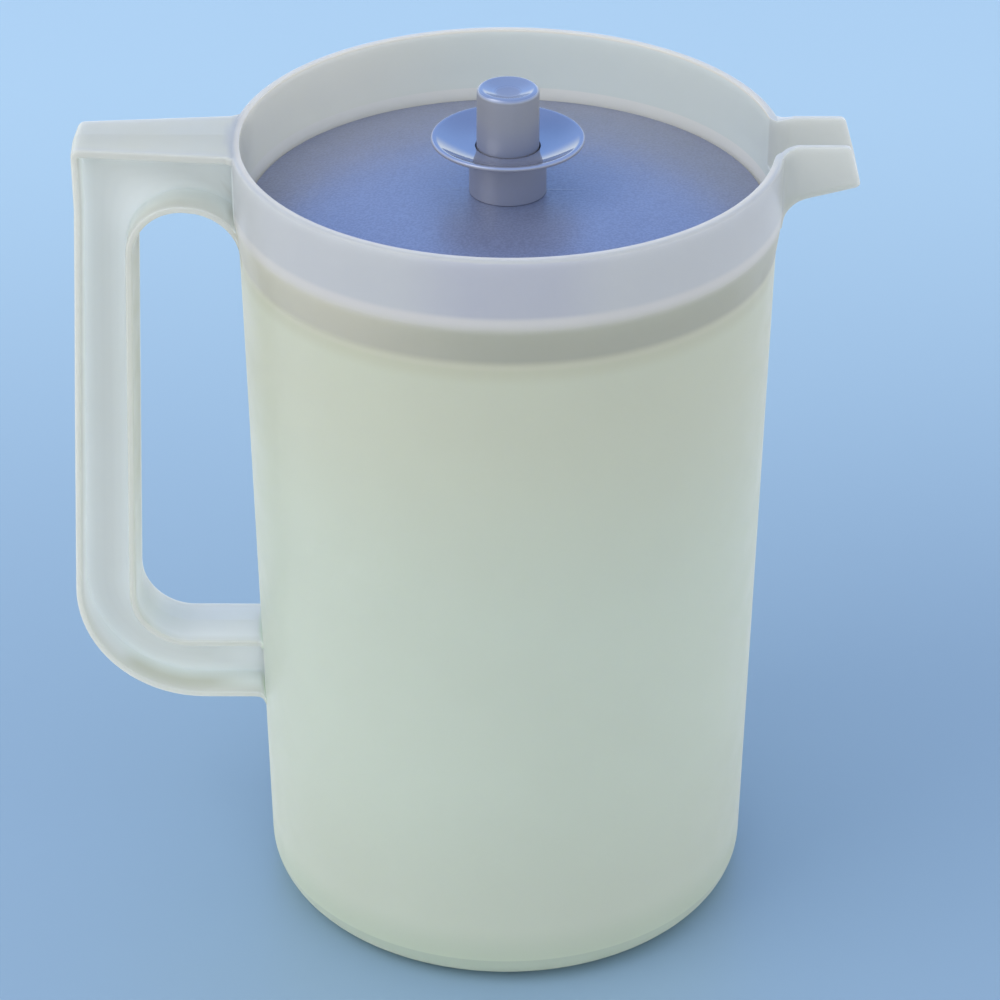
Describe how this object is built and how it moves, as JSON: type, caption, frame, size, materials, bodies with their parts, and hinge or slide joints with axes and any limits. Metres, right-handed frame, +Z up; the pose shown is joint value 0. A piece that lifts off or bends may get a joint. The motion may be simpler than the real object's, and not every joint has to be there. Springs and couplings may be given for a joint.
{
  "type": "pitcher",
  "caption": "Tall round plastic pitcher with a moulded handle and channel spout, closed by a recessed disc lid with a finger flange and push button.",
  "frame": {"origin": "centre of the flat underside, on the axis of the round body", "axes": "+Z up along the body's axis, +X towards the spout, -X towards the handle, the part is mirror-symmetric about the XZ plane"},
  "size_m": [0.2397, 0.1634, 0.2725],
  "materials": {
    "jug": "milky translucent, satin",
    "seal_disc": "fine matte grain",
    "grip_collar": "glossy dish on a satin neck",
    "retaining_ring": "satin",
    "push_button": "glossy dished top on satin sides",
    "expander": "satin"
  },
  "bodies": {
    "jug": {"jug": "jug"},
    "seal": {"seal_disc": "seal_disc", "grip_collar": "grip_collar", "retaining_ring": "retaining_ring"},
    "button": {"push_button": "push_button", "expander": "expander"}
  },
  "joints": [
    {"name": "seal_lift_off", "type": "slide", "parent": "jug", "child": "seal", "axis": [0, 0, 1], "range_m": [0, 0.06]},
    {"name": "button_press", "type": "slide", "parent": "seal", "child": "button", "axis": [0, 0, -1], "range_m": [0, 0.008], "stiffness_N_per_m": 1200, "springref_m": -0.0008}
  ]
}
